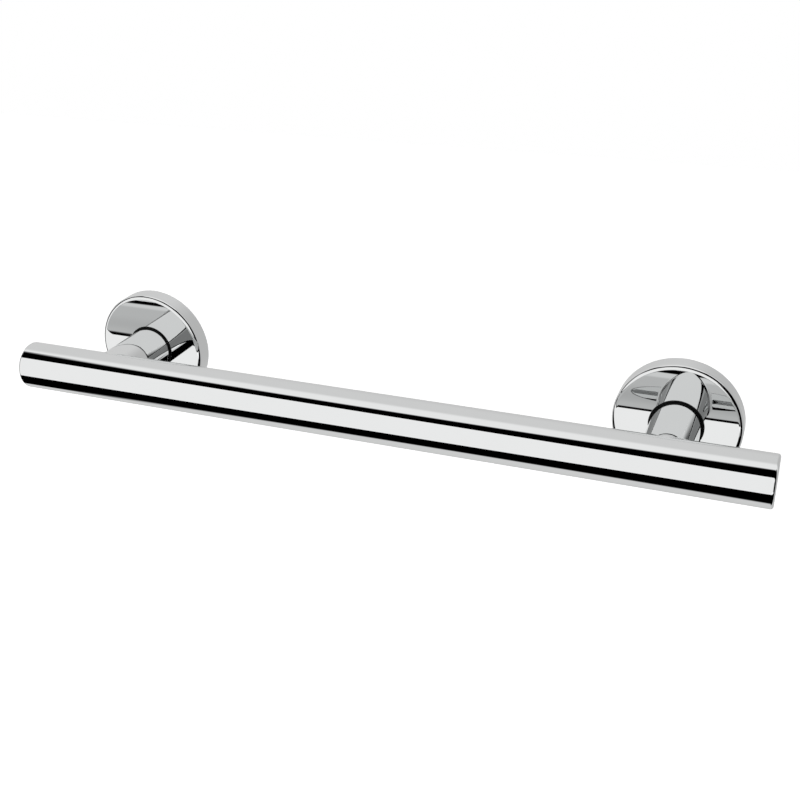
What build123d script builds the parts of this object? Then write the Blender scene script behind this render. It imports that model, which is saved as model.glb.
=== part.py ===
from build123d import *
import os

# A straight grab bar on two posts, each rising from a round rosette on the wall.
# Millimetres. X runs along the bar, Y points into the wall (its face is y = 0), Z is up.
# The origin lies on the wall's face, midway between the two posts.

# The bar and its closed ends
BAR_LENGTH = 400.0
BAR_DIAMETER = 25.4
BAR_WALL = 1.5
BAR_STANDOFF = 51.0            # from the wall's face to the bar's centre line
CAP_THICKNESS = 2.0
CAP_EDGE_RADIUS = 1.4
CAP_PLUG_LENGTH = 8.0
CAP_PLUG_CLEARANCE = 0.05
CAP_PLUG_WALL = 2.5

# The posts
POST_SPACING = 298.0           # between the two posts' centre lines
POST_DIAMETER = 25.0
POST_SEAT = 6.0                # solid length behind the bar that the bolt clamps

# The M8 bolt, its split washer and the nut inside the bar
BOLT_DIAMETER = 8.0
BOLT_LENGTH = 20.0
BOLT_HEAD_DIAMETER = 13.0
BOLT_HEAD_HEIGHT = 8.0
BOLT_HEAD_ROUNDING = 0.8
BOLT_SOCKET_WIDTH = 6.0
BOLT_SOCKET_DEPTH = 4.0
BOLT_HOLE_CLEARANCE = 0.3
THREAD_CLEARANCE = 0.05
WASHER_THICKNESS = 2.0
WASHER_RIM = 2.5
WASHER_BORE_CLEARANCE = 0.2
WASHER_SPLIT = 1.2
WASHER_SPLIT_LEAN = 25.0       # degrees from the bolt's axis
NUT_LENGTH = 22.0
NUT_THICKNESS = 8.0
NUT_CLEARANCE = 0.05

# The wall plate with its hollow spigot
PLATE_THICKNESS = 4.0
SPIGOT_LENGTH = 16.0
SPIGOT_WALL = 2.2
SPIGOT_CLEARANCE = 0.05
SPIGOT_LEAD_IN = 0.8
SPIGOT_HEAD_CLEARANCE = 0.75   # round the bolt head, which can stand inside the spigot
GROOVE_DEPTH = 1.2
GROOVE_FLOOR = 2.0
SCREW_HOLE_SPACING = 42.0      # one wall screw above the post and one below
SCREW_HOLE_DIAMETER = 5.5
SCREW_HEAD_DIAMETER = 10.0

# The M5 set screw under the post
GRUB_DIAMETER = 5.0
GRUB_SETBACK = 3.4             # from the plate's front face to the screw's axis
GRUB_SINK = 0.4
GRUB_SOCKET_WIDTH = 2.5
GRUB_SOCKET_DEPTH = 1.8
GRUB_POINT_CLEARANCE = 0.1

# The rosette and the rubber ring in its hole
ROSETTE_DIAMETER = 64.0
ROSETTE_DEPTH = 10.0
ROSETTE_FRONT_WALL = 1.5
ROSETTE_SIDE_WALL = 1.6
ROSETTE_EDGE_RADIUS = 2.2
ROSETTE_INNER_RADIUS = 0.8
ROSETTE_PLATE_CLEARANCE = 0.2
SEAL_WIDTH = 1.1               # the black ring that shows between post and rosette
SEAL_SINK = 0.3
SEAL_FLANGE_WIDTH = 1.8
SEAL_FLANGE_THICKNESS = 1.2
SEAL_FIT = 0.02

# Places and radii that follow from the sizes above
bar_radius = BAR_DIAMETER / 2
bar_bore_radius = bar_radius - BAR_WALL
post_radius = POST_DIAMETER / 2
bolt_radius = BOLT_DIAMETER / 2
bolt_hole_radius = bolt_radius + BOLT_HOLE_CLEARANCE
spigot_bore_radius = BOLT_HEAD_DIAMETER / 2 + SPIGOT_HEAD_CLEARANCE
spigot_radius = spigot_bore_radius + SPIGOT_WALL
post_bore_radius = spigot_radius + SPIGOT_CLEARANCE
grub_radius = GRUB_DIAMETER / 2
rosette_radius = ROSETTE_DIAMETER / 2
rosette_hole_radius = post_radius + SEAL_WIDTH
plate_radius = rosette_radius - ROSETTE_SIDE_WALL - ROSETTE_PLATE_CLEARANCE

bar_axis_y = -BAR_STANDOFF
bolt_seat_y = bar_axis_y + bar_radius + POST_SEAT
bolt_head_y = bolt_seat_y + WASHER_THICKNESS
plate_front_y = -PLATE_THICKNESS
spigot_tip_y = plate_front_y - SPIGOT_LENGTH
grub_y = plate_front_y - GRUB_SETBACK
rosette_face_y = -ROSETTE_DEPTH
rosette_back_y = rosette_face_y + ROSETTE_FRONT_WALL


def rod(radius, start_y, end_y):
    """A cylinder along Y between two distances from the wall."""
    middle = (start_y + end_y) / 2
    return Pos(0, middle, 0) * Rot(90, 0, 0) * Cylinder(radius, abs(end_y - start_y))


def turned(outline):
    """A solid of revolution about Y, from an outline of (radius, y) points."""
    return revolve(make_face(Polyline(outline, close=True)), Axis.Y)


def hexagon_socket(width, depth):
    """A hexagonal prism that runs up Z from the origin, as wide as its key."""
    return extrude(RegularPolygon(width / 2, 6, major_radius=False), depth)


def bar_cylinder(radius, length):
    """A cylinder on the bar's centre line, centred between the posts."""
    return Pos(0, bar_axis_y, 0) * Rot(0, 90, 0) * Cylinder(radius, length)


def make_bar_tube():
    """The drawn tube, with a bolt hole through its back wall at each post."""
    length = BAR_LENGTH - 2 * CAP_THICKNESS
    tube = bar_cylinder(bar_radius, length) - bar_cylinder(bar_bore_radius, length)
    for side in (-1, 1):
        hole = rod(bolt_hole_radius, bar_axis_y, bolt_seat_y)
        tube -= Pos(side * POST_SPACING / 2, 0, 0) * hole
    return tube


def make_end_cap(side):
    """A turned cap: a disc with a rounded outer edge, and a hollow plug in the tube."""
    plug_radius = bar_bore_radius - CAP_PLUG_CLEARANCE
    disc = Cylinder(bar_radius, CAP_THICKNESS, align=(Align.CENTER, Align.CENTER, Align.MAX))
    disc = fillet(disc.edges().group_by(Axis.Z)[-1], CAP_EDGE_RADIUS)
    plug = Cylinder(plug_radius, CAP_PLUG_LENGTH, align=(Align.CENTER, Align.CENTER, Align.MAX))
    plug -= Cylinder(plug_radius - CAP_PLUG_WALL, CAP_PLUG_LENGTH,
                     align=(Align.CENTER, Align.CENTER, Align.MAX))
    cap = disc + Pos(0, 0, -CAP_THICKNESS) * plug
    return Pos(side * BAR_LENGTH / 2, bar_axis_y, 0) * Rot(0, side * 90, 0) * cap


def make_post():
    """A turned post whose mouth is cut to a saddle on the bar, with a stepped bore behind."""
    post = rod(post_radius, bar_axis_y, plate_front_y) - bar_cylinder(bar_radius, 2 * BAR_DIAMETER)
    post -= rod(bolt_hole_radius, bar_axis_y, bolt_seat_y)
    post -= rod(post_bore_radius, bolt_seat_y, plate_front_y)
    grub_hole = Cylinder(grub_radius + THREAD_CLEARANCE, post_radius,
                         align=(Align.CENTER, Align.CENTER, Align.MAX))
    return post - Pos(0, grub_y, 0) * grub_hole


def make_tie_bolt():
    """A socket head bolt that pulls the post's saddle against the bar."""
    head = rod(BOLT_HEAD_DIAMETER / 2, bolt_head_y, bolt_head_y + BOLT_HEAD_HEIGHT)
    head = fillet(head.edges().group_by(Axis.Y)[-1], BOLT_HEAD_ROUNDING)
    socket_floor_y = bolt_head_y + BOLT_HEAD_HEIGHT - BOLT_SOCKET_DEPTH
    head -= Pos(0, socket_floor_y, 0) * Rot(-90, 0, 0) * hexagon_socket(BOLT_SOCKET_WIDTH, BOLT_SOCKET_DEPTH)
    return head + rod(bolt_radius, bolt_head_y - BOLT_LENGTH, bolt_head_y)


def make_lock_washer():
    """A split spring washer, drawn flat under the bolt head, with its leaning cut on top."""
    bore = bolt_radius + WASHER_BORE_CLEARANCE
    rim = bore + WASHER_RIM
    washer = rod(rim, bolt_seat_y, bolt_head_y) - rod(bore, bolt_seat_y, bolt_head_y)
    cut = Box(WASHER_SPLIT, 4 * WASHER_THICKNESS, rim, align=(Align.CENTER, Align.CENTER, Align.MIN))
    return washer - Pos(0, bolt_seat_y + WASHER_THICKNESS / 2, 0) * Rot(0, 0, WASHER_SPLIT_LEAN) * cut


def make_saddle_nut():
    """A half-round threaded block that beds against the back of the bar's bore."""
    nut_radius = bar_bore_radius - NUT_CLEARANCE
    inner_y = nut_radius - NUT_THICKNESS
    segment = Circle(nut_radius) & Pos(inner_y, 0) * Rectangle(
        NUT_THICKNESS, 2 * nut_radius, align=(Align.MIN, Align.CENTER))
    block = extrude(Plane.YZ * segment, NUT_LENGTH / 2, both=True)
    block = Pos(0, bar_axis_y, 0) * block
    return block - rod(bolt_radius + THREAD_CLEARANCE, bar_axis_y - bar_radius, bolt_seat_y)


def make_wall_plate():
    """A turned steel disc with a hollow spigot, a locking groove round it and two countersunk holes."""
    groove_mouth = GROOVE_FLOOR / 2 + GROOVE_DEPTH
    plate = turned([
        (spigot_bore_radius, 0),
        (plate_radius, 0),
        (plate_radius, plate_front_y),
        (spigot_radius, plate_front_y),
        (spigot_radius, grub_y + groove_mouth),
        (spigot_radius - GROOVE_DEPTH, grub_y + GROOVE_FLOOR / 2),
        (spigot_radius - GROOVE_DEPTH, grub_y - GROOVE_FLOOR / 2),
        (spigot_radius, grub_y - groove_mouth),
        (spigot_radius, spigot_tip_y + SPIGOT_LEAD_IN),
        (spigot_radius - SPIGOT_LEAD_IN, spigot_tip_y),
        (spigot_bore_radius, spigot_tip_y),
    ])
    hole_radius = SCREW_HOLE_DIAMETER / 2
    sink_depth = (SCREW_HEAD_DIAMETER - SCREW_HOLE_DIAMETER) / 2
    sink_y = plate_front_y + sink_depth
    cutter = turned([
        (0, 0),
        (hole_radius, 0),
        (hole_radius, sink_y),
        (SCREW_HEAD_DIAMETER / 2, plate_front_y),
        (0, plate_front_y),
    ])
    for side in (-1, 1):
        plate -= Pos(0, 0, side * SCREW_HOLE_SPACING / 2) * cutter
    return plate


def make_grub_screw():
    """A cone point set screw under the post, its point in the spigot's locking groove."""
    outer_end = post_radius - GRUB_SINK
    point_end = spigot_radius - GROOVE_DEPTH + GRUB_POINT_CLEARANCE
    point_radius = GROOVE_FLOOR / 2 - GRUB_POINT_CLEARANCE
    outline = [
        (0, -outer_end),
        (grub_radius, -outer_end),
        (grub_radius, -post_bore_radius),
        (point_radius + post_bore_radius - point_end, -post_bore_radius),
        (point_radius, -point_end),
        (0, -point_end),
    ]
    screw = Rot(90, 0, 0) * turned(outline)
    screw -= Pos(0, 0, -outer_end) * hexagon_socket(GRUB_SOCKET_WIDTH, GRUB_SOCKET_DEPTH)
    return Pos(0, grub_y, 0) * screw


def make_rosette():
    """A turned cover, hollow behind, with a round front edge and a hole for the post."""
    inner_radius = rosette_radius - ROSETTE_SIDE_WALL
    section = make_face(Polyline([
        (rosette_hole_radius, rosette_face_y),
        (rosette_radius, rosette_face_y),
        (rosette_radius, 0),
        (inner_radius, 0),
        (inner_radius, rosette_back_y),
        (rosette_hole_radius, rosette_back_y),
    ], close=True))
    rim = section.vertices().group_by(Axis.X)
    front_corner = rim[-1].sort_by(Axis.Y)[0]
    section = fillet(front_corner, ROSETTE_EDGE_RADIUS)
    inner_corner = section.vertices().sort_by_distance((inner_radius, rosette_back_y))[0]
    section = fillet(inner_corner, ROSETTE_INNER_RADIUS)
    return revolve(section, Axis.Y)


def make_post_seal():
    """A rubber ring that fills the rosette's hole round the post, with a flange behind the wall."""
    bore = post_radius + SEAL_FIT
    body = rosette_hole_radius - SEAL_FIT
    flange = rosette_hole_radius + SEAL_FLANGE_WIDTH
    return turned([
        (bore, rosette_face_y + SEAL_SINK),
        (body, rosette_face_y + SEAL_SINK),
        (body, rosette_back_y),
        (flange, rosette_back_y),
        (flange, rosette_back_y + SEAL_FLANGE_THICKNESS),
        (bore, rosette_back_y + SEAL_FLANGE_THICKNESS),
    ])


os.makedirs("parts", exist_ok=True)
export_step(make_bar_tube(), "parts/bar_tube.step")

set_of_pieces = {
    "post": make_post(),
    "tie_bolt": make_tie_bolt(),
    "lock_washer": make_lock_washer(),
    "saddle_nut": make_saddle_nut(),
    "wall_plate": make_wall_plate(),
    "grub_screw": make_grub_screw(),
    "rosette": make_rosette(),
    "post_seal": make_post_seal(),
}
for name, side in (("left", -1), ("right", 1)):
    export_step(make_end_cap(side), f"parts/{name}_end_cap.step")
    for piece, shape in set_of_pieces.items():
        export_step(Pos(side * POST_SPACING / 2, 0, 0) * shape, f"parts/{name}_{piece}.step")
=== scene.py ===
import bpy
import numpy as np
from mathutils import Matrix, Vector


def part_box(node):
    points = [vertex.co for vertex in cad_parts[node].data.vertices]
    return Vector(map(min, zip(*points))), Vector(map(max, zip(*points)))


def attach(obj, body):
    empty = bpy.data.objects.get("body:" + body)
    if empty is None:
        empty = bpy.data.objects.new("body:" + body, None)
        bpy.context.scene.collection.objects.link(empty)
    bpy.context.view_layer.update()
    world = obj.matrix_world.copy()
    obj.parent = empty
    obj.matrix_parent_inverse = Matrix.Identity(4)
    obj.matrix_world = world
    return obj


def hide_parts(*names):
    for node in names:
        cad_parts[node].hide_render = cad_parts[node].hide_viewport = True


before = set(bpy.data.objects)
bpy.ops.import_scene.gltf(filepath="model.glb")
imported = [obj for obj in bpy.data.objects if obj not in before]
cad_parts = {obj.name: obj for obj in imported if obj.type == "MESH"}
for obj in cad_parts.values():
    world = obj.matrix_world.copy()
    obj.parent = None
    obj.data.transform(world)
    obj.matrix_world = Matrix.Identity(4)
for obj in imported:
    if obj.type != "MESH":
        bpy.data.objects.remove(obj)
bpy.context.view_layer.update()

# The bar
# Drawn brass tube, polished and chrome plated, with a bolt hole through its back wall at each post.
# The plate is a mirror, so its look is what it reflects, under a faint haze and a trace of ripple.
MM = 0.001
X_AXIS, Y_AXIS, Z_AXIS = 0, 1, 2
SIDES = {"left": -1, "right": 1}
COLOUR_A, COLOUR_B, COLOUR_RESULT = 6, 7, 2    # places of the colour sockets on a Mix node
BAR_WALL = 1.5 * MM
BOLT_HOLE_RADIUS = 4.3 * MM
HOLE_MARGIN = 8 * MM                           # rings this far each side of a hole keep its cut local
CHROME_CLEAR = "#dfe0e0"
CHROME_HAZY = "#dddede"
CHROME_EDGE = "#f6f6f6"
CHROME_BLUR = (0.006, 0.02)
HAZE_SIZE = 14 * MM
RIPPLE_SIZE = 6 * MM
RIPPLE_HEIGHT = 0.0004 * MM
SEGMENTS = 288
SHARP_ANGLE = np.radians(28)


def linear(colour):
    """A hex sRGB colour as linear RGBA, by the sRGB transfer curve."""
    share = np.array([int(colour[i:i + 2], 16) for i in (1, 3, 5)]) / 255
    curve = np.where(share <= 0.04045, share / 12.92, ((share + 0.055) / 1.055) ** 2.4)
    return (*curve.tolist(), 1.0)


def fill(tree, node, inputs):
    """Set each input of a node to a value, or link it to another node's output."""
    for name, value in inputs.items():
        if isinstance(value, bpy.types.NodeSocket):
            tree.links.new(value, node.inputs[name])
        else:
            node.inputs[name].default_value = value


def add_node(tree, kind, inputs=None, **settings):
    """Add a node, apply its settings and fill its inputs."""
    node = tree.nodes.new(kind)
    for name, value in settings.items():
        setattr(node, name, value)
    fill(tree, node, inputs or {})
    return node


def start_material(name):
    """A new material, with its node tree, its shader and the Object coordinates."""
    material = bpy.data.materials.new(name)
    material.use_nodes = True
    tree = material.node_tree
    spot = add_node(tree, "ShaderNodeTexCoord").outputs["Object"]
    return material, tree, tree.nodes["Principled BSDF"], spot


def vary(tree, shader, pattern, colours, blurs, relief):
    """Let a pattern from 0 to 1 carry a shader's colour and roughness from a first value to a second,
    and let the relief, a pattern and its height, shape the surface."""
    tone = add_node(tree, "ShaderNodeMix", {
        "Factor": pattern, COLOUR_A: linear(colours[0]), COLOUR_B: linear(colours[1])}, data_type="RGBA")
    blur = add_node(tree, "ShaderNodeMapRange", {
        "Value": pattern, "To Min": blurs[0], "To Max": blurs[1]})
    bump = add_node(tree, "ShaderNodeBump", {"Height": relief[0], "Distance": relief[1]})
    fill(tree, shader, {
        "Base Color": tone.outputs[COLOUR_RESULT],
        "Roughness": blur.outputs["Result"],
        "Normal": bump.outputs["Normal"],
    })


def polished_chrome():
    """Bright chrome plate on polished brass: a clear mirror, whose haze drifts over a centimetre or
    so. The edge tint lets it brighten only a little towards a grazing angle."""
    material, tree, shader, spot = start_material("polished_chrome")
    haze = add_node(tree, "ShaderNodeTexNoise", {
        "Vector": spot, "Scale": 1 / HAZE_SIZE, "Detail": 3.0}).outputs["Fac"]
    ripple = add_node(tree, "ShaderNodeTexNoise", {
        "Vector": spot, "Scale": 1 / RIPPLE_SIZE}).outputs["Fac"]
    vary(tree, shader, haze, (CHROME_CLEAR, CHROME_HAZY), CHROME_BLUR, (ripple, RIPPLE_HEIGHT))
    fill(tree, shader, {"Metallic": 1.0, "Specular Tint": linear(CHROME_EDGE)})
    return material


def place(node):
    """A CAD node's lowest and highest corners, as arrays."""
    low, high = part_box(node)
    return np.array(low), np.array(high)


def finish_mesh(piece):
    """Smooth shading, split where two faces meet at more than the sharp angle."""
    piece.data.shade_smooth()
    piece.data.set_sharp_from_angle(angle=SHARP_ANGLE)


def around(segments):
    """Evenly spaced angles of one turn."""
    return np.arange(segments) * 2 * np.pi / segments


def widen(values, segments):
    """Rows of ring values as a whole grid, in which a row of one value fills its ring."""
    return np.broadcast_to(np.reshape(values, (len(values), -1)), (len(values), segments))


def add_piece(name, material, corners, faces):
    """An object of one material in the scene, made of corners and faces."""
    mesh = bpy.data.meshes.new(name)
    mesh.from_pydata(corners, [], faces)
    mesh.materials.append(material)
    piece = bpy.data.objects.new(name, mesh)
    bpy.context.scene.collection.objects.link(piece)
    return piece


def turned(name, material, axis, centre, along, radius, segments=SEGMENTS, angle=None):
    """A closed surface of rings about an axis through centre. Ring i lies at along[i] with radius[i],
    and a row of values there changes with the angle. The angles are even, or given for every point.
    The outline closes on itself, or runs from the axis back to it, and the sign of the area inside it
    says which way round its faces point out."""
    angle = around(segments) if angle is None else angle
    along, radius = widen(along, segments), widen(radius, segments)
    points = np.stack([along, radius * np.cos(angle), radius * np.sin(angle)], axis=-1)
    points = np.roll(points, axis, axis=-1) + centre
    a, r = along.mean(axis=1), radius.mean(axis=1)
    if np.sum(a * np.roll(r, -1) - np.roll(a, -1) * r) > 0:
        points = points[::-1]
    if r[0] > 0:
        corners = points.reshape(-1, 3)
        near = np.arange(len(corners)).reshape(-1, segments)
        far = np.roll(near, -1, axis=0)
        fans = []
    else:
        corners = np.vstack([points[1:-1].reshape(-1, 3), points[0, :1], points[-1, :1]])
        rings = np.arange(len(corners) - 2).reshape(-1, segments)
        near, far = rings[:-1], rings[1:]
        tips = np.repeat([[len(corners) - 2], [len(corners) - 1]], segments, axis=1)
        fans = np.vstack([
            np.stack([tips[0], np.roll(rings[0], -1), rings[0]], axis=1),
            np.stack([tips[1], rings[-1], np.roll(rings[-1], -1)], axis=1),
        ]).tolist()
    quads = np.stack([near, np.roll(near, -1, axis=1), np.roll(far, -1, axis=1), far], axis=-1)
    piece = add_piece(name, material, corners.tolist(), quads.reshape(-1, 4).tolist() + fans)
    finish_mesh(piece)
    return piece


def drill(piece, cutter):
    """Cut the closed surface cutter out of a piece, and remove the cutter."""
    cut = piece.modifiers.new("hole", "BOOLEAN")
    cut.operation = "DIFFERENCE"
    cut.solver = "EXACT"
    cut.object = cutter
    solid = piece.evaluated_get(bpy.context.evaluated_depsgraph_get())
    piece.data = bpy.data.meshes.new_from_object(solid)
    piece.modifiers.clear()
    bpy.data.objects.remove(cutter)
    finish_mesh(piece)


chrome = polished_chrome()
bar_low, bar_high = place("bar_tube")
bar_radius = (bar_high[1] - bar_low[1]) / 2
bar_bore = bar_radius - BAR_WALL
bar_centre = (bar_low + bar_high) / 2
bar_y = bar_centre[1]
tube_end = bar_high[0]
post_x = {side: np.mean(place(f"{side}_post"), axis=0)[0] for side in SIDES}

beside_holes = [x + margin for x in post_x.values() for margin in (-HOLE_MARGIN, HOLE_MARGIN)]
stations = sorted([-tube_end, tube_end] + beside_holes)
bar = turned(
    "polished_bar", chrome, X_AXIS, bar_centre,
    stations + stations[::-1],
    [bar_radius] * len(stations) + [bar_bore] * len(stations))
half_step = np.pi / SEGMENTS                   # keeps the hole's corners off the bar's own lines
for side in SIDES:
    drill(bar, turned(
        "cutter", chrome, Y_AXIS, (post_x[side], bar_y, 0),
        [0, 0, 2 * bar_radius, 2 * bar_radius],
        [0, BOLT_HOLE_RADIUS, BOLT_HOLE_RADIUS, 0], angle=around(SEGMENTS) + half_step))
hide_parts("bar_tube")
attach(bar, "root")

# The end caps
# Turned brass plugs, chrome plated with the bar: a disc flush with the tube, its outer edge rounded,
# and a hollow spigot behind it that is pressed into the bore.
CAP_THICKNESS = 2 * MM
CAP_EDGE = 1.4 * MM
CAP_PLUG_CLEARANCE = 0.05 * MM
CAP_PLUG_WALL = 2.5 * MM
CAP_LEAD_IN = 0.4 * MM
ARC_STEP = np.radians(3)
GUARD = 0.08                       # of a rounding, between its arc and the flat beside it


def softened(corners):
    """An outline through corners of (place along the axis, radius, rounding). A rounding is an arc
    that touches both sides of its corner, with a point beyond each end so that the flats stay flat."""
    corners = np.array(corners, float)
    stretches = []
    for before, corner, after in zip(np.roll(corners, 1, 0), corners, np.roll(corners, -1, 0)):
        spot, rounding = corner[:2], corner[2]
        if rounding == 0:
            stretches.append(spot[None])
            continue
        back = (before[:2] - spot) / np.linalg.norm(before[:2] - spot)
        ahead = (after[:2] - spot) / np.linalg.norm(after[:2] - spot)
        half = np.arccos(back @ ahead) / 2
        reach = rounding / np.tan(half)
        centre = spot + (back + ahead) / np.linalg.norm(back + ahead) * rounding / np.sin(half)
        turn = np.pi - 2 * half
        angle = np.linspace(0, turn, int(np.ceil(turn / ARC_STEP)) + 1)[:, None]
        first = spot + back * reach - centre
        last = spot + ahead * reach - centre
        arc = centre + (np.sin(turn - angle) * first + np.sin(angle) * last) / np.sin(turn)
        beyond = reach + GUARD * rounding
        stretches += [(spot + back * beyond)[None], arc, (spot + ahead * beyond)[None]]
    return np.vstack(stretches).T


for side, sign in SIDES.items():
    low, high = place(f"{side}_end_cap")
    plug_length = high[0] - low[0] - CAP_THICKNESS
    plug_radius = bar_bore - CAP_PLUG_CLEARANCE
    along, radius = softened([
        (CAP_THICKNESS, 0, 0),
        (CAP_THICKNESS, bar_radius, CAP_EDGE),
        (0, bar_radius, 0),
        (0, plug_radius, 0),
        (-plug_length, plug_radius, CAP_LEAD_IN),
        (-plug_length, plug_radius - CAP_PLUG_WALL, 0),
        (0, plug_radius - CAP_PLUG_WALL, 0),
        (0, 0, 0),
    ])
    cap = turned(
        f"{side}_polished_cap", chrome, X_AXIS, (sign * tube_end, bar_y, 0), sign * along, radius)
    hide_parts(f"{side}_end_cap")
    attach(cap, "root")

# The saddle nuts
# Half-round brass blocks inside the tube, sawn from bar and milled flat, drilled and tapped for the
# bolts. Their CAD solids stay, and the cutter leaves short lines across the metal.
BRASS_BRIGHT = "#d9b76a"
BRASS_DULL = "#b8934a"
BRASS_BLUR = (0.18, 0.4)
CUTTER_MARK = 0.5 * MM
CUTTER_DEPTH = 0.02 * MM
MARK_STRETCH = 0.12


def milled_brass():
    """Yellow brass as a milling cutter leaves it: bright lines across the block, a little uneven."""
    material, tree, shader, spot = start_material("milled_brass")
    stretched = add_node(tree, "ShaderNodeVectorMath", {0: spot, 1: (1, MARK_STRETCH, MARK_STRETCH)},
                         operation="MULTIPLY").outputs["Vector"]
    marks = add_node(tree, "ShaderNodeTexNoise", {
        "Vector": stretched, "Scale": 1 / CUTTER_MARK, "Detail": 2.0}).outputs["Fac"]
    vary(tree, shader, marks, (BRASS_BRIGHT, BRASS_DULL), BRASS_BLUR, (marks, CUTTER_DEPTH))
    fill(tree, shader, {"Metallic": 1.0})
    return material


brass = milled_brass()
for side in SIDES:
    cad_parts[f"{side}_saddle_nut"].material_slots[0].material = brass

# The posts
# Turned brass, chrome plated: the mouth is coped to a saddle that beds on the bar and flares out to it,
# the bolt passes through the solid neck behind it, and the bore slides over the wall plate's spigot.
POST_SEAT = 6 * MM
POST_BORE_RADIUS = 9.5 * MM
POST_FLARE = 1.8 * MM
GRUB_HOLE_RADIUS = 2.55 * MM
GRUB_HOLE_SEGMENTS = 72
FLARE_RINGS = 16
SADDLE_RINGS = 24


def flare_points(post_radius, angle):
    """Points from the post's side to the bar, about the point where their axes cross. A ball that
    touches both runs round the joint: its centre lies the flare's radius off each surface, and the
    points are the arc of the ball between the two touches."""
    out = np.stack([np.sin(angle), np.zeros_like(angle), np.cos(angle)], axis=-1)
    ball = (post_radius + POST_FLARE) * out
    ball[:, 1] = np.sqrt((bar_radius + POST_FLARE) ** 2 - ball[:, 2] ** 2)
    off_bar = ball * (0, 1, 1) / (bar_radius + POST_FLARE)
    turn = np.arccos(np.sum(out * off_bar, axis=-1))[:, None]
    share = np.linspace(0, 1, FLARE_RINGS)[:, None, None]
    arc = (np.sin((1 - share) * turn) * out + np.sin(share * turn) * off_bar) / np.sin(turn)
    return ball - POST_FLARE * arc


def stack_rings(segments, *stretches):
    """Join stretches of (places along the axis, radii) into two grids of rings. Each value of a
    stretch fills its ring or is a row with one value for each angle."""
    wide = [[widen(values, segments) for values in stretch] for stretch in stretches]
    return [np.vstack(rows) for rows in zip(*wide)]


for side in SIDES:
    low, high = place(f"{side}_post")
    post_radius = (high[0] - low[0]) / 2
    seat_y = bar_y + bar_radius + POST_SEAT
    angle = around(SEGMENTS)
    x, y, z = np.moveaxis(flare_points(post_radius, angle), -1, 0)
    inner_angle = np.arctan2(x[-1], z[-1])
    saddle_radius = np.linspace(
        np.hypot(x[-1], z[-1]), np.full(SEGMENTS, BOLT_HOLE_RADIUS), SADDLE_RINGS)
    saddle_y = np.sqrt(bar_radius ** 2 - (saddle_radius * np.cos(inner_angle)) ** 2)
    bore_y = [seat_y, seat_y, high[1]]
    bore_radius = [BOLT_HOLE_RADIUS, POST_BORE_RADIUS, POST_BORE_RADIUS]
    guard_y = bar_y + y[0] + GUARD * POST_FLARE
    along, radius = stack_rings(
        SEGMENTS,
        (bar_y + saddle_y, saddle_radius),
        (bore_y, bore_radius),
        ([high[1]], [post_radius]),
        ([guard_y], [post_radius]),
        (bar_y + y[:-1], np.hypot(x, z)[:-1]))
    turn = np.vstack([
        np.tile(inner_angle, (len(saddle_y) + len(bore_y), 1)),
        np.tile(angle, (2, 1)),
        np.arctan2(x, z)[:-1],
    ])
    post = turned(
        f"{side}_polished_post", chrome, Y_AXIS, (post_x[side], 0, 0), along, radius, angle=turn)
    grub_y = np.mean(place(f"{side}_grub_screw"), axis=0)[1]
    drill(post, turned(
        "cutter", chrome, Z_AXIS, (post_x[side], grub_y, 0),
        [0, 0, -2 * post_radius, -2 * post_radius],
        [0, GRUB_HOLE_RADIUS, GRUB_HOLE_RADIUS, 0], GRUB_HOLE_SEGMENTS))
    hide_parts(f"{side}_post")
    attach(post, "root")

# The lock washers
# Split spring washers under the bolt heads, of plain stainless wire rolled flat.
# Their CAD solids stay, in the steel that the bolts and grub screws share.
STEEL_BRIGHT = "#c3c2c0"
STEEL_DULL = "#a09f9d"
STEEL_BLUR = (0.2, 0.42)
STEEL_GRAIN = 0.35 * MM
STEEL_PITS = 0.006 * MM


def plain_stainless():
    """Cold formed stainless steel: a satin grey, mottled by its fine grain."""
    material, tree, shader, spot = start_material("plain_stainless")
    grain = add_node(tree, "ShaderNodeTexNoise", {
        "Vector": spot, "Scale": 1 / STEEL_GRAIN, "Detail": 3.0}).outputs["Fac"]
    vary(tree, shader, grain, (STEEL_BRIGHT, STEEL_DULL), STEEL_BLUR, (grain, STEEL_PITS))
    fill(tree, shader, {"Metallic": 1.0})
    return material


stainless = plain_stainless()
for side in SIDES:
    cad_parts[f"{side}_lock_washer"].material_slots[0].material = stainless

# The tie bolts
# M8 socket head bolts of stainless steel, from inside each post through the bar's wall into the nut.
# The heads are knurled, and the threads are rolled to the full length of the shank.
BOLT_RADIUS = 4 * MM
BOLT_PITCH = 1.25 * MM
BOLT_HEAD_HEIGHT = 8 * MM
BOLT_HEAD_ROUNDING = 0.8 * MM
BOLT_HEAD_CHAMFER = 0.4 * MM       # under the head
BOLT_SOCKET_WIDTH = 6 * MM
BOLT_SOCKET_DEPTH = 4 * MM
BOLT_TIP_CHAMFER = 0.8 * MM
KNURL_START = 1.2 * MM             # below the top of the head
KNURL_DEPTH = 0.14 * MM
ROUNDING_RINGS = 9
SCREW_SEGMENTS = 96
THREAD_STEPS = 10                  # rings in one pitch
THREAD_DEPTH = 0.61                # of a pitch
CREST_FLAT, ROOT_FLAT = 1 / 8, 1 / 4


def hexagon(width, angle):
    """The radius of a hexagonal socket at each angle: half its width over the cosine of the angle
    from the middle of the nearest side."""
    side = np.pi / 3
    return width / 2 / np.cos(angle % side - side / 2)


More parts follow.
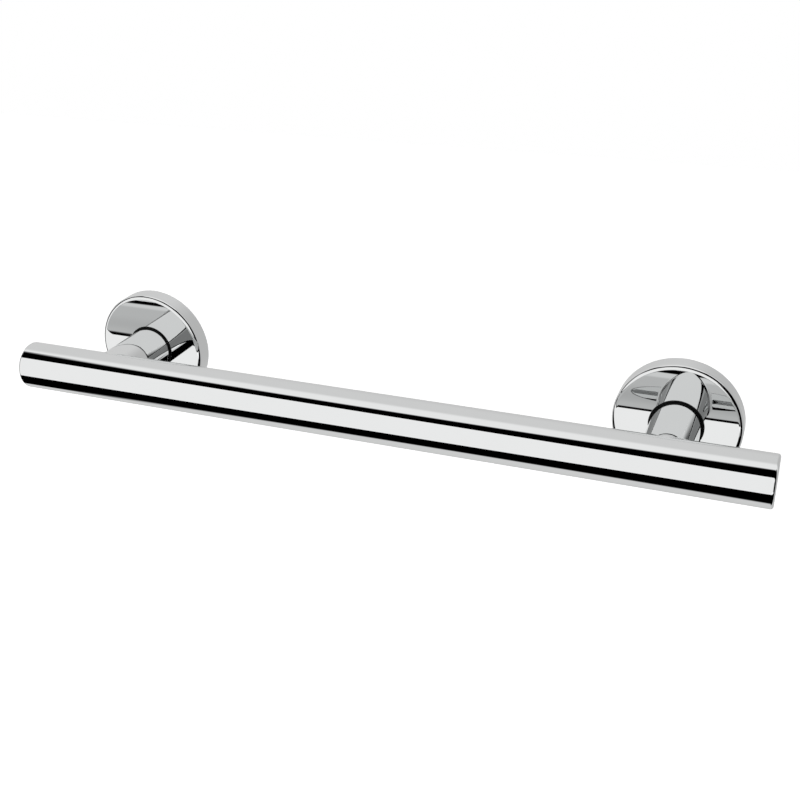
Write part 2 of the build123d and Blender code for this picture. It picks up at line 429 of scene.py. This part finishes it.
def threaded(start, end, crest, pitch, angle):
    """Rings of a screw thread from start to end. The radius falls from the crest to the root and
    back once a pitch, with a flat at both, and the phase grows with the angle, which makes a helix."""
    along = np.linspace(start, end, int(abs(end - start) / pitch * THREAD_STEPS) + 1)[:, None]
    rise = 1 - np.abs(2 * ((along / pitch + angle / (2 * np.pi)) % 1) - 1)
    groove = np.clip((rise - CREST_FLAT) / (1 - CREST_FLAT - ROOT_FLAT), 0, 1)
    runout = np.clip(np.minimum(np.abs(along - start), np.abs(along - end)) / pitch, 0, 1)
    return np.repeat(along, len(angle), axis=1), crest - THREAD_DEPTH * pitch * groove * runout


screw_angle = around(SCREW_SEGMENTS)
for side in SIDES:
    low, high = place(f"{side}_tie_bolt")
    head_radius = (high[0] - low[0]) / 2
    tip_y, top_y = low[1], high[1]
    under_y = top_y - BOLT_HEAD_HEIGHT
    socket = hexagon(BOLT_SOCKET_WIDTH, screw_angle)
    rim = np.linspace(0, np.pi / 2, ROUNDING_RINGS)
    knurl = head_radius - KNURL_DEPTH * (np.arange(SCREW_SEGMENTS) % 2)
    along, radius = stack_rings(
        SCREW_SEGMENTS,
        ([top_y - BOLT_SOCKET_DEPTH], [0]),
        ([top_y - BOLT_SOCKET_DEPTH, top_y], [socket, socket]),
        (top_y - BOLT_HEAD_ROUNDING * (1 - np.cos(rim)),
         head_radius - BOLT_HEAD_ROUNDING * (1 - np.sin(rim))),
        ([top_y - KNURL_START, under_y + BOLT_HEAD_CHAMFER], [knurl, knurl]),
        ([under_y], [head_radius - BOLT_HEAD_CHAMFER]),
        threaded(under_y, tip_y + BOLT_TIP_CHAMFER, BOLT_RADIUS, BOLT_PITCH, screw_angle),
        ([tip_y, tip_y], [BOLT_RADIUS - BOLT_TIP_CHAMFER, 0]))
    bolt = turned(
        f"{side}_threaded_bolt", stainless, Y_AXIS, (post_x[side], 0, 0), along, radius, SCREW_SEGMENTS)
    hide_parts(f"{side}_tie_bolt")
    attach(bolt, "root")

# The wall plates
# Turned mild steel discs with a hollow spigot, screwed to the wall before the bar goes on.
# Their CAD solids stay, and the lathe tool leaves fine rings round each post's axis.
PLATE_BRIGHT = "#c6c8ca"
PLATE_DULL = "#8f9294"
PLATE_BLUR = (0.22, 0.45)
TOOL_DEPTH = 0.03 * MM
TOOL_FEED = 0.45 * MM              # coarser than a real feed of about 0.15 mm, so that it shows


def turned_steel():
    """Steel as it leaves the lathe: grey rings of uneven brightness about the axis of each post. The
    two plates share the rings, because the distance is taken from the nearer post."""
    material, tree, shader, spot = start_material("turned_steel")
    folded = add_node(tree, "ShaderNodeVectorMath", {0: spot}, operation="ABSOLUTE").outputs["Vector"]
    offset = add_node(tree, "ShaderNodeVectorMath", {0: folded, 1: (post_x["right"], 0, 0)},
                      operation="SUBTRACT").outputs["Vector"]
    across = add_node(tree, "ShaderNodeVectorMath", {0: offset, 1: (1, 0, 1)},
                      operation="MULTIPLY").outputs["Vector"]
    reach = add_node(tree, "ShaderNodeVectorMath", {0: across}, operation="LENGTH").outputs["Value"]
    rings = add_node(tree, "ShaderNodeTexNoise", {"W": reach, "Scale": 1 / TOOL_FEED, "Detail": 2.0},
                     noise_dimensions="1D").outputs["Fac"]
    vary(tree, shader, rings, (PLATE_BRIGHT, PLATE_DULL), PLATE_BLUR, (rings, TOOL_DEPTH))
    fill(tree, shader, {"Metallic": 1.0})
    return material


steel = turned_steel()
for side in SIDES:
    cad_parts[f"{side}_wall_plate"].material_slots[0].material = steel

# The dark rings, painted shade
# Near-black rings in the rosettes' holes, painted shade that stands in for the shadow in the gap round
# each post: a bead that shows round the post, and a flange behind the rosette's wall that keeps it
# there.
# Painted shade: near-black tones that stand in for the shadow in the gap between post and rosette.
GAP_SHADE_BLACK = "#090909"
GAP_SHADE_MOTTLE = "#101010"
GAP_SHADE_BLUR = (0.55, 0.75)
GAP_SHADE_SHEEN = 0.25
GAP_SHADE_IOR = 1.52
GAP_SHADE_GRAIN = 0.3 * MM
GAP_SHADE_BUMPS = 0.02 * MM
SEAL_CLEARANCE = 0.02 * MM
SEAL_WIDTH = 1.08 * MM
SEAL_BODY = 1.2 * MM
SEAL_BEAD = 0.35 * MM
SEAL_EDGE = 0.2 * MM


def painted_gap_shade():
    """Painted shade for the gaps round the posts: matt and very dark, with a fine even grain."""
    material, tree, shader, spot = start_material("painted_gap_shade")
    grain = add_node(tree, "ShaderNodeTexNoise", {
        "Vector": spot, "Scale": 1 / GAP_SHADE_GRAIN, "Detail": 2.0}).outputs["Fac"]
    vary(tree, shader, grain, (GAP_SHADE_BLACK, GAP_SHADE_MOTTLE), GAP_SHADE_BLUR, (grain, GAP_SHADE_BUMPS))
    fill(tree, shader, {"Specular IOR Level": GAP_SHADE_SHEEN, "IOR": GAP_SHADE_IOR})
    return material


# Each ring is painted shade, drawn near-black in the gap round its post.
gap_shade = painted_gap_shade()
for side in SIDES:
    low, high = place(f"{side}_post_seal")
    flange_radius = (high[0] - low[0]) / 2
    post_radius = np.ptp(place(f"{side}_post"), axis=0)[0] / 2
    seal_bore = post_radius + SEAL_CLEARANCE
    seal_radius = post_radius + SEAL_WIDTH
    along, radius = softened([
        (low[1], seal_bore, SEAL_BEAD),
        (low[1], seal_radius, SEAL_BEAD),
        (low[1] + SEAL_BODY, seal_radius, 0),
        (low[1] + SEAL_BODY, flange_radius, SEAL_EDGE),
        (high[1], flange_radius, SEAL_EDGE),
        (high[1], seal_bore, SEAL_EDGE),
    ])
    seal = turned(f"{side}_shade_ring", gap_shade, Y_AXIS, (post_x[side], 0, 0), along, radius)
    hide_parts(f"{side}_post_seal")
    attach(seal, "root")

# The rosettes
# Turned brass covers, chrome plated: a flat mirror face with a round front edge, hollow behind, that
# slide along the posts on the dark rings and hide the wall plates.
ROSETTE_HOLE_RADIUS = 13.6 * MM
ROSETTE_FRONT_WALL = 1.5 * MM
ROSETTE_SIDE_WALL = 1.6 * MM
ROSETTE_EDGE = 2.2 * MM
ROSETTE_INNER_EDGE = 0.8 * MM
ROSETTE_BREAK = 0.15 * MM          # the small rounding that polishing leaves on other corners
for side in SIDES:
    low, high = place(f"{side}_rosette")
    rosette_radius = (high[0] - low[0]) / 2
    face_y, wall_y = low[1], high[1]
    along, radius = softened([
        (face_y, ROSETTE_HOLE_RADIUS, ROSETTE_BREAK),
        (face_y, rosette_radius, ROSETTE_EDGE),
        (wall_y, rosette_radius, ROSETTE_BREAK),
        (wall_y, rosette_radius - ROSETTE_SIDE_WALL, ROSETTE_BREAK),
        (face_y + ROSETTE_FRONT_WALL, rosette_radius - ROSETTE_SIDE_WALL, ROSETTE_INNER_EDGE),
        (face_y + ROSETTE_FRONT_WALL, ROSETTE_HOLE_RADIUS, ROSETTE_BREAK),
    ])
    rosette = turned(f"{side}_polished_rosette", chrome, Y_AXIS, (post_x[side], 0, 0), along, radius)
    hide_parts(f"{side}_rosette")
    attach(rosette, "root")

# The grub screws
# M5 cone point set screws of stainless steel, driven up from under each post into the groove of the
# wall plate's spigot, which locks the bar on the wall.
GRUB_RADIUS = 2.5 * MM
GRUB_PITCH = 0.8 * MM
GRUB_SOCKET_WIDTH = 2.5 * MM
GRUB_SOCKET_DEPTH = 1.8 * MM
GRUB_THREAD_LENGTH = 2.6 * MM
GRUB_CONE_RADIUS = 2.05 * MM
GRUB_POINT_RADIUS = 0.9 * MM
for side in SIDES:
    low, high = place(f"{side}_grub_screw")
    foot, point = low[2], high[2]
    neck = foot + GRUB_THREAD_LENGTH
    socket = hexagon(GRUB_SOCKET_WIDTH, screw_angle)
    along, radius = stack_rings(
        SCREW_SEGMENTS,
        ([foot + GRUB_SOCKET_DEPTH], [0]),
        ([foot + GRUB_SOCKET_DEPTH, foot], [socket, socket]),
        threaded(foot, neck, GRUB_RADIUS, GRUB_PITCH, screw_angle),
        ([neck, point, point], [GRUB_CONE_RADIUS, GRUB_POINT_RADIUS, 0]))
    grub_y = (low[1] + high[1]) / 2
    grub = turned(
        f"{side}_threaded_grub", stainless, Z_AXIS, (post_x[side], grub_y, 0),
        along, radius, SCREW_SEGMENTS)
    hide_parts(f"{side}_grub_screw")
    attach(grub, "root")

# The studio
# A grey room, darker behind and to the right and bright high in front, with a softbox that fills the
# middle of every mirror. Black cloth above and below the softbox draws the stripes, a black flag trims
# its right end, and a small card shows below that end.
ROOM_LEVEL = 0.806
DEEP_SHARE = 0.66                  # of the room's light is left after three mirrors or more
DEEP_DEPTH = 4                     # the depth of a ray that has left its third mirror
FLOAT_A, FLOAT_B = 2, 3            # places of the number sockets on a Mix node
UP = np.array([0, 0, 1])
FRONT = np.array([-0.07, -1, -0.04])
OVERHEAD = np.array([-0.26, 0.05, 1])
OVERHEAD_RIGHT = np.array([0.155, 0.015, 1])
UNDERFOOT = np.array([-0.24, 0.06, -1])
LOW_CARD = np.array([0.51, -1, -0.43])
SOFTBOX_LEVEL = 1.1
SOFTBOX_HEADING = np.radians(-16.1)
SOFTBOX_DISTANCE = 1.06
SOFTBOX_ACROSS = (-1.4, 1.5)       # its left and right edges, from the line through the bar's middle
SOFTBOX_UPRIGHT = (-0.622, 0.97)
FLAG_DISTANCE = 0.7
FLAG_ACROSS = (0.82, 2.4)
FLAG_UPRIGHT = (-0.33, 0.38)
FLAG_FADE = 0.06                   # half the width over which its left edge grows dense
FLOOR_DEPTH = 0.85
FLOOR_SIZE = 8.0
FLOOR_COLOUR = "#f2f2f2"
FLOOR_ROUGHNESS = 0.9
FLOOR_LIFT = 0.65                  # what the camera sees above the lit floor, so that it reads as white

# Each layer of light: its brightness, and the cones that a direction has to lie in, each given by an
# axis, the least cosine with it, and the blur of the edge. Later layers lie over earlier ones.
studio = [
    (0.52, [((0, 2.4, -1), 1.04, 0.54)]),
    (0.61, [((1, 0, 0), 0.23, 0.35)]),
    (1.06, [((0, -1, 0.19), 0, 0.12), (UP, 0.59, 0.1)]),
    (0.0, [(FRONT, 0.02, 0.005), (-OVERHEAD, -0.924, 0.017), (-OVERHEAD_RIGHT, -0.951, 0.013),
           (-UNDERFOOT, -0.943, 0.019)]),
    (1.1, [(LOW_CARD, 0.9936, 0.0012)]),
]
world = bpy.data.worlds.new("studio")
world.use_nodes = True
bpy.context.scene.world = world
tree = world.node_tree
direction = add_node(tree, "ShaderNodeTexCoord").outputs["Generated"]
level = ROOM_LEVEL
for brightness, cones in studio:
    inside = 1.0
    for axis, least, blur in cones:
        axis = np.array(axis) / np.linalg.norm(axis)
        cosine = add_node(tree, "ShaderNodeVectorMath", {0: direction, 1: axis}, operation="DOT_PRODUCT")
        edge = add_node(tree, "ShaderNodeMapRange", {
            "Value": cosine.outputs["Value"], "From Min": least - blur, "From Max": least + blur,
        }, interpolation_type="SMOOTHSTEP").outputs["Result"]
        inside = add_node(tree, "ShaderNodeMath", {0: inside, 1: edge}, operation="MULTIPLY").outputs[0]
    level = add_node(tree, "ShaderNodeMix", {
        "Factor": inside, FLOAT_A: level, FLOAT_B: brightness}).outputs[0]

# The camera and transmitted rays see plain white. Mirror rays see the studio instead, because the
# stripes on the chrome are made of it.
ray = add_node(tree, "ShaderNodeLightPath").outputs
deep = add_node(tree, "ShaderNodeMapRange", {
    "Value": ray["Ray Depth"],
    "From Min": DEEP_DEPTH - 1,
    "From Max": DEEP_DEPTH,
    "To Min": 1.0,
    "To Max": DEEP_SHARE,
}).outputs["Result"]
level = add_node(tree, "ShaderNodeMath", {0: level, 1: deep}, operation="MULTIPLY").outputs[0]
white = add_node(tree, "ShaderNodeMath", {
    0: ray["Is Camera Ray"], 1: ray["Is Transmission Ray"]}, operation="MAXIMUM").outputs[0]
level = add_node(tree, "ShaderNodeMix", {"Factor": white, FLOAT_A: level, FLOAT_B: 1.0}).outputs[0]
fill(tree, tree.nodes["Background"], {"Color": (1, 1, 1, 1), "Strength": level})

sideways = np.array([np.cos(SOFTBOX_HEADING), np.sin(SOFTBOX_HEADING), 0])
outward = np.cross(sideways, UP)
softbox_data = bpy.data.lights.new("softbox", "AREA")
softbox_data.shape = "RECTANGLE"
softbox_data.size = np.ptp(SOFTBOX_ACROSS)
softbox_data.size_y = np.ptp(SOFTBOX_UPRIGHT)
softbox_data.energy = SOFTBOX_LEVEL * np.pi * softbox_data.size * softbox_data.size_y
softbox = bpy.data.objects.new("softbox", softbox_data)
middle = outward * SOFTBOX_DISTANCE + sideways * np.mean(SOFTBOX_ACROSS) + UP * np.mean(SOFTBOX_UPRIGHT)
softbox.matrix_world = (
    Matrix.Translation(middle)
    @ Matrix.Rotation(SOFTBOX_HEADING, 4, "Z")
    @ Matrix.Rotation(np.pi / 2, 4, "X"))
softbox.visible_camera = False
bpy.context.scene.collection.objects.link(softbox)

flag_left, flag_right = FLAG_ACROSS[0] - FLAG_FADE, FLAG_ACROSS[1]
flag_low, flag_high = FLAG_UPRIGHT
flag_material, tree, shader, spot = start_material("black_cloth")
across = add_node(tree, "ShaderNodeVectorMath", {0: spot, 1: sideways}, operation="DOT_PRODUCT")
cover = add_node(tree, "ShaderNodeMapRange", {
    "Value": across.outputs["Value"],
    "From Min": flag_left,
    "From Max": FLAG_ACROSS[0] + FLAG_FADE,
}, interpolation_type="SMOOTHSTEP").outputs["Result"]
fill(tree, shader, {
    "Base Color": (0, 0, 0, 1), "Roughness": 1.0, "Specular IOR Level": 0.0, "Alpha": cover})
flag_corners = (
    (flag_left, flag_low), (flag_right, flag_low), (flag_right, flag_high), (flag_left, flag_high))
flag = add_piece(
    "flag", flag_material,
    [outward * FLAG_DISTANCE + sideways * u + UP * v for u, v in flag_corners], [(0, 1, 2, 3)])
flag.visible_camera = False

floor_material, tree, shader = start_material("pale_floor")[:3]
seen = add_node(tree, "ShaderNodeLightPath").outputs["Is Camera Ray"]
lift = add_node(tree, "ShaderNodeMath", {0: seen, 1: FLOOR_LIFT}, operation="MULTIPLY").outputs[0]
fill(tree, shader, {
    "Base Color": linear(FLOOR_COLOUR),
    "Roughness": FLOOR_ROUGHNESS,
    "Emission Color": (1, 1, 1, 1),
    "Emission Strength": lift,
})
half = FLOOR_SIZE / 2
floor_corners = ((-half, -half), (half, -half), (half, half), (-half, half))
floor = add_piece(
    "floor", floor_material, [(x, y, -FLOOR_DEPTH) for x, y in floor_corners], [(0, 1, 2, 3)])
floor.visible_glossy = False

# The camera
# In front of the bar's right end and above it, looking down and to the left.
CAMERA_PLACE = (0.2055, -0.5290, 0.2555)
CAMERA_HEADING = np.radians(21.21)
CAMERA_PITCH = np.radians(-25.38)
CAMERA_ROLL = np.radians(-0.84)
FOCAL_LENGTH = 51.86               # in mm, like the frame's width
FRAME_WIDTH = 36
NEAREST = 0.01
camera_data = bpy.data.cameras.new("camera")
camera_data.sensor_width = FRAME_WIDTH
camera_data.lens = FOCAL_LENGTH
camera_data.clip_start = NEAREST
camera = bpy.data.objects.new("camera", camera_data)
camera.matrix_world = (
    Matrix.Translation(CAMERA_PLACE)
    @ Matrix.Rotation(CAMERA_HEADING, 4, "Z")
    @ Matrix.Rotation(np.pi / 2 + CAMERA_PITCH, 4, "X")
    @ Matrix.Rotation(CAMERA_ROLL, 4, "Z"))
bpy.context.scene.collection.objects.link(camera)
bpy.context.scene.camera = camera
bpy.context.scene.view_settings.view_transform = "Standard"
